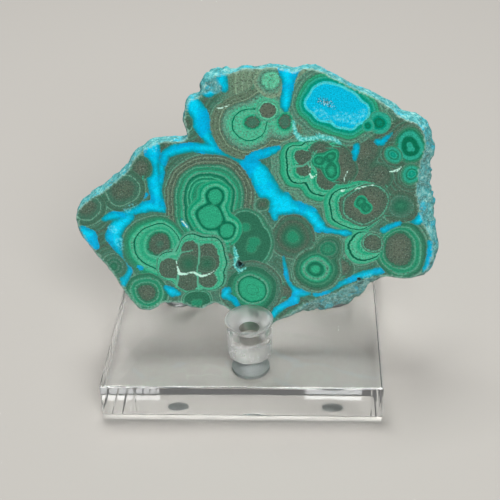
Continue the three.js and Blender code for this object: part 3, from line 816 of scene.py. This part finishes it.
def acrylicMaterial(name, haze, hazeDish=None):
    material, tree, body, out = newMaterial(name)
    n = tree.nodes.new("ShaderNodeTexCoord")
    place = n.outputs["Object"]
    scuffs = between(tree, noise(tree, place, 900.0, 4.0, 0.7), 0.55, 0.8)
    smears = noise(tree, place, 60.0, 3.0, 0.6)
    rough = maths(tree, "MULTIPLY_ADD", scuffs, 0.05, maths(tree, "MULTIPLY_ADD", smears, haze, haze * 0.5))
    body.inputs["Base Color"].default_value = (1, 1, 1, 1)
    if hazeDish:
        dull = stored(tree, "turned")
        rough = maths(tree, "MULTIPLY_ADD", maths(tree, "MINIMUM", dull, 1.0), hazeDish, rough)
        # the hole (mark 2) is tinted towards that colour, a painted shade in the hole
        holeShading = maths(tree, "SUBTRACT", dull, 1.0, clamp=True)
        tree.links.new(mixed(tree, holeShading, (1, 1, 1, 1), stand["holeShadeColour"]), body.inputs["Base Color"])
    tree.links.new(rough, body.inputs["Roughness"])
    body.inputs["Transmission Weight"].default_value = 1.0
    body.inputs["IOR"].default_value = stand["ior"]
    waves = maths(tree, "ADD", noise(tree, place, 45.0, 2.0), maths(tree, "MULTIPLY", scuffs, 0.1))
    tree.links.new(bump(tree, waves, 0.006, 0.0004), body.inputs["Normal"])
    absorb = tree.nodes.new("ShaderNodeVolumeAbsorption")
    absorb.inputs["Color"].default_value = stand["tint"]
    absorb.inputs["Density"].default_value = stand["tintDepth"]
    tree.links.new(absorb.outputs[0], out.inputs["Volume"])
    return material


def rubberMaterial():
    material, tree, body, out = newMaterial("grey_rubber")
    n = tree.nodes.new("ShaderNodeTexCoord")
    mottle = noise(tree, n.outputs["Object"], 700.0, 3.0, 0.6)
    tree.links.new(mixed(tree, mottle, shade(92, 98, 98), shade(122, 128, 126)), body.inputs["Base Color"])
    tree.links.new(maths(tree, "MULTIPLY_ADD", mottle, 0.2, 0.55), body.inputs["Roughness"])
    tree.links.new(bump(tree, mottle, 0.3, 0.0001), body.inputs["Normal"])
    return material


def plateMesh():
    low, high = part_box("base_plate")
    bm = bmesh.new()
    bmesh.ops.create_cube(bm, size=1.0)
    for vert in bm.verts:
        vert.co = Vector([(low[i] + high[i]) / 2 + vert.co[i] * (high[i] - low[i]) for i in range(3)])
    bmesh.ops.bevel(
        bm, geom=bm.edges[:], offset=stand["easedEdge"] * mm, segments=stand["easedSteps"],
        profile=0.5, affect="EDGES")
    mesh = bpy.data.meshes.new("base_plate_clear")
    bm.to_mesh(mesh)
    bm.free()
    smoothFaces(mesh, stand["plateSharpAt"])
    return mesh


# profile points are radius and height in mm, with a mark
# the mark goes up to 1 for a face left dull by the tool, and is 2 in a drilled hole, which the clear material
# tints darker as painted shade
def turnedMesh(name, node, profile, sharpAt):
    low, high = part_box(node)
    centre = Vector(((low.x + high.x) / 2, (low.y + high.y) / 2, low.z))
    bm = bmesh.new()
    mark = bm.verts.layers.float.new("turned")
    sides = stand["sides"]
    rings = []
    for radius, height, dull in profile:
        if radius == 0:
            ring = [bm.verts.new(centre + Vector((0, 0, height * mm)))]
        else:
            ring = []
            for i in range(sides):
                a = 2 * math.pi * i / sides
                out = Vector((radius * mm * math.cos(a), radius * mm * math.sin(a), height * mm))
                ring.append(bm.verts.new(centre + out))
        for vert in ring:
            vert[mark] = dull
        rings.append(ring)
    for lower, upper in zip(rings, rings[1:]):
        for i in range(sides):
            j = (i + 1) % sides
            corners = [lower[i % len(lower)], lower[j % len(lower)]]
            corners += [upper[j % len(upper)], upper[i % len(upper)]]
            corners = list(dict.fromkeys(corners))  # a ring of one point makes triangles
            if len(corners) > 2:
                bm.faces.new(corners)
    bmesh.ops.recalc_face_normals(bm, faces=bm.faces)
    mesh = bpy.data.meshes.new(name)
    bm.to_mesh(mesh)
    bm.free()
    smoothFaces(mesh, sharpAt)
    return mesh


frontPeg = {
    "radius": 6.0, "height": 10.8, "rim": 6.5, "rimHeight": 0.9,
    "dish": 6.0, "dishDepth": 3.0, "dishSteps": 8, "hole": 2.75, "holeDepth": 6.0, "brushed": 0.5,
    "softened": 0.15,
}
rearPeg = {"radius": 6.0, "height": 40.0, "chamfer": 0.5, "softened": 0.15}
foot = {
    "radius": 5.2, "sole": 4.9, "rounded": 0.3, "height": 1.2, "sag": 0.06,
    "stuck": 3.1, "stuckSlope": 0.3, "stuckForward": 1.7, "lift": 0.03,
}

clear = acrylicMaterial("clear_acrylic", stand["haze"])
turnedClear = acrylicMaterial("turned_acrylic", stand["haze"], stand["toolHaze"])
rubber = rubberMaterial()

mesh = plateMesh()
mesh.materials.append(clear)
addPiece("base_plate_clear", mesh, "base_plate")

p = frontPeg
top = p["height"]
profile = [
    (0, -stand["overlap"], 0), (p["radius"], -stand["overlap"], p["brushed"]),
    (p["radius"], top - p["rimHeight"], p["brushed"]), (p["rim"] - 0.05, top - p["rimHeight"] / 3, 0.3),
    (p["rim"], top - p["softened"], 0.6), (p["rim"] - p["softened"], top, 1), (p["dish"], top, 1),
]
for i in range(1, p["dishSteps"] + 1):
    t = i / p["dishSteps"]
    depth = p["dishDepth"] * math.sin(t * math.pi / 2) ** 0.8
    profile.append((p["dish"] + (p["hole"] - p["dish"]) * t, top - depth, 1))
profile += [
    (p["hole"], top - p["dishDepth"] - 0.2, 2), (p["hole"], top - p["holeDepth"], 2),
    (0, top - p["holeDepth"], 2),
]
mesh = turnedMesh("front_peg_clear", "front_peg", profile, stand["turnedSharpAt"])
mesh.materials.append(turnedClear)
addPiece("front_peg_clear", mesh, "front_peg")

p = rearPeg
top = p["height"]
for side in ("left", "right"):
    profile = [
        (0, -stand["overlap"], 0), (p["radius"], -stand["overlap"], 0), (p["radius"],
        top - p["chamfer"], 0),
        (p["radius"] - p["chamfer"] / 2, top - p["softened"], 0.5), (p["radius"] - p["chamfer"],
        top, 0.5),
        (0, top, 0.2),
    ]
    node = "rear_peg_" + side
    mesh = turnedMesh(node + "_clear", node, profile, stand["turnedSharpAt"])
    mesh.materials.append(turnedClear)
    addPiece(node + "_clear", mesh, node)

p = foot
top = p["height"]
for node in ("foot_front", "foot_rear_left", "foot_rear_right"):
    # the rear feet stick to the plate in the middle, the front one stays just clear of it
    stuck = "rear" in node
    middle = top + stand["overlap"] if stuck else top - p["lift"]
    profile = [
        (0, 0, 0), (p["sole"], 0, 0), (p["radius"] - 0.08, p["rounded"] * 0.4, 0), (p["radius"],
        p["rounded"], 0),
        (p["radius"], top - p["sag"], 0), (p["stuck"] + p["stuckSlope"], top - p["sag"], 0),
        (p["stuck"], middle, 0), (0, middle, 0),
    ]
    mesh = turnedMesh(node + "_rubber", node, profile, stand["rubberSharpAt"])
    if stuck:
        low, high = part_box(node)
        axis = (low + high) / 2
        patch = (p["stuck"] + p["stuckSlope"] + p["radius"]) / 2 * mm  # halfway from the patch to the rim
        for vert in mesh.vertices:
            if vert.co.z > axis.z and (vert.co - axis).xy.length < patch:
                vert.co.y -= p["stuckForward"] * mm
    mesh.materials.append(rubber)
    addPiece(node + "_rubber", mesh, node)
print("stand: plate, 3 pegs and 3 feet")


# floor, light and camera
studio = {
    "floor": (0.36, 0.345, 0.32),
    "floorDrop": 0.05,  # mm below the feet
    "world": (0.13, 0.13, 0.13),
    "overhead": {"at": (-0.10, 0.30, 0.95), "size": 0.5, "power": 10.8},
    "front": {"at": (0.35, -1.0, 0.85), "size": 0.7, "power": 17.6},
    "aim": (0, 0, 0.04),
    "bounces": 32,  # light turns many times inside the plate before it comes out
}


def addFloor():
    bm = bmesh.new()
    bmesh.ops.create_grid(bm, x_segments=8, y_segments=8, size=3.0)
    mesh = bpy.data.meshes.new("floor")
    bm.to_mesh(mesh)
    bm.free()
    floor = bpy.data.objects.new("floor", mesh)
    floor.location.z = -studio["floorDrop"] * mm
    bpy.context.scene.collection.objects.link(floor)
    material, tree, body, out = newMaterial("plain_floor")
    body.inputs["Base Color"].default_value = (*studio["floor"], 1)
    body.inputs["Roughness"].default_value = 0.9
    mesh.materials.append(material)


def addLight(name):
    light = studio[name]
    data = bpy.data.lights.new(name, "AREA")
    data.shape = "SQUARE"
    data.size = light["size"]
    data.energy = light["power"]
    lamp = bpy.data.objects.new(name, data)
    lamp.location = light["at"]
    towards = Vector(studio["aim"]) - Vector(light["at"])
    lamp.rotation_euler = towards.to_track_quat("-Z", "Y").to_euler()
    bpy.context.scene.collection.objects.link(lamp)


addFloor()
addLight("overhead")
addLight("front")
world = bpy.data.worlds.new("studio")
world.use_nodes = True
world.node_tree.nodes["Background"].inputs["Color"].default_value = (*studio["world"], 1)
bpy.context.scene.world = world
bpy.context.scene.view_settings.view_transform = "Standard"
tracing = bpy.context.scene.cycles
tracing.max_bounces = studio["bounces"]
tracing.glossy_bounces = studio["bounces"]
tracing.transmission_bounces = studio["bounces"]
tracing.blur_glossy = 0.0

camera = {
    "at": (18.75, -212.45, 184.18),  # mm from the middle of the plate's front top edge
    "lens": 76.716,
    "sensor": 36.0,
    "pitch": 33.48,
    "yaw": 3.99,
    "roll": -2.19,
}


def addCamera():
    pitch, yaw, roll = (math.radians(camera[k]) for k in ("pitch", "yaw", "roll"))
    forward = Vector((-math.sin(yaw) * math.cos(pitch), math.cos(yaw) * math.cos(pitch), -math.sin(pitch)))
    right = Vector((math.cos(yaw), math.sin(yaw), 0))
    up = right.cross(forward)
    tiltedRight = math.cos(roll) * right + math.sin(roll) * up
    tiltedUp = math.cos(roll) * up - math.sin(roll) * right
    data = bpy.data.cameras.new("camera")
    data.lens = camera["lens"]
    data.sensor_width = camera["sensor"]
    data.sensor_fit = "HORIZONTAL"
    data.clip_start = 0.01
    data.clip_end = 20.0
    eye = bpy.data.objects.new("camera", data)
    turn = Matrix((tiltedRight, tiltedUp, -forward)).transposed()
    eye.matrix_world = Matrix.Translation(plateFront + Vector(camera["at"]) * mm) @ turn.to_4x4()
    bpy.context.scene.collection.objects.link(eye)
    bpy.context.scene.camera = eye


addCamera()
print("floor, lights and camera")
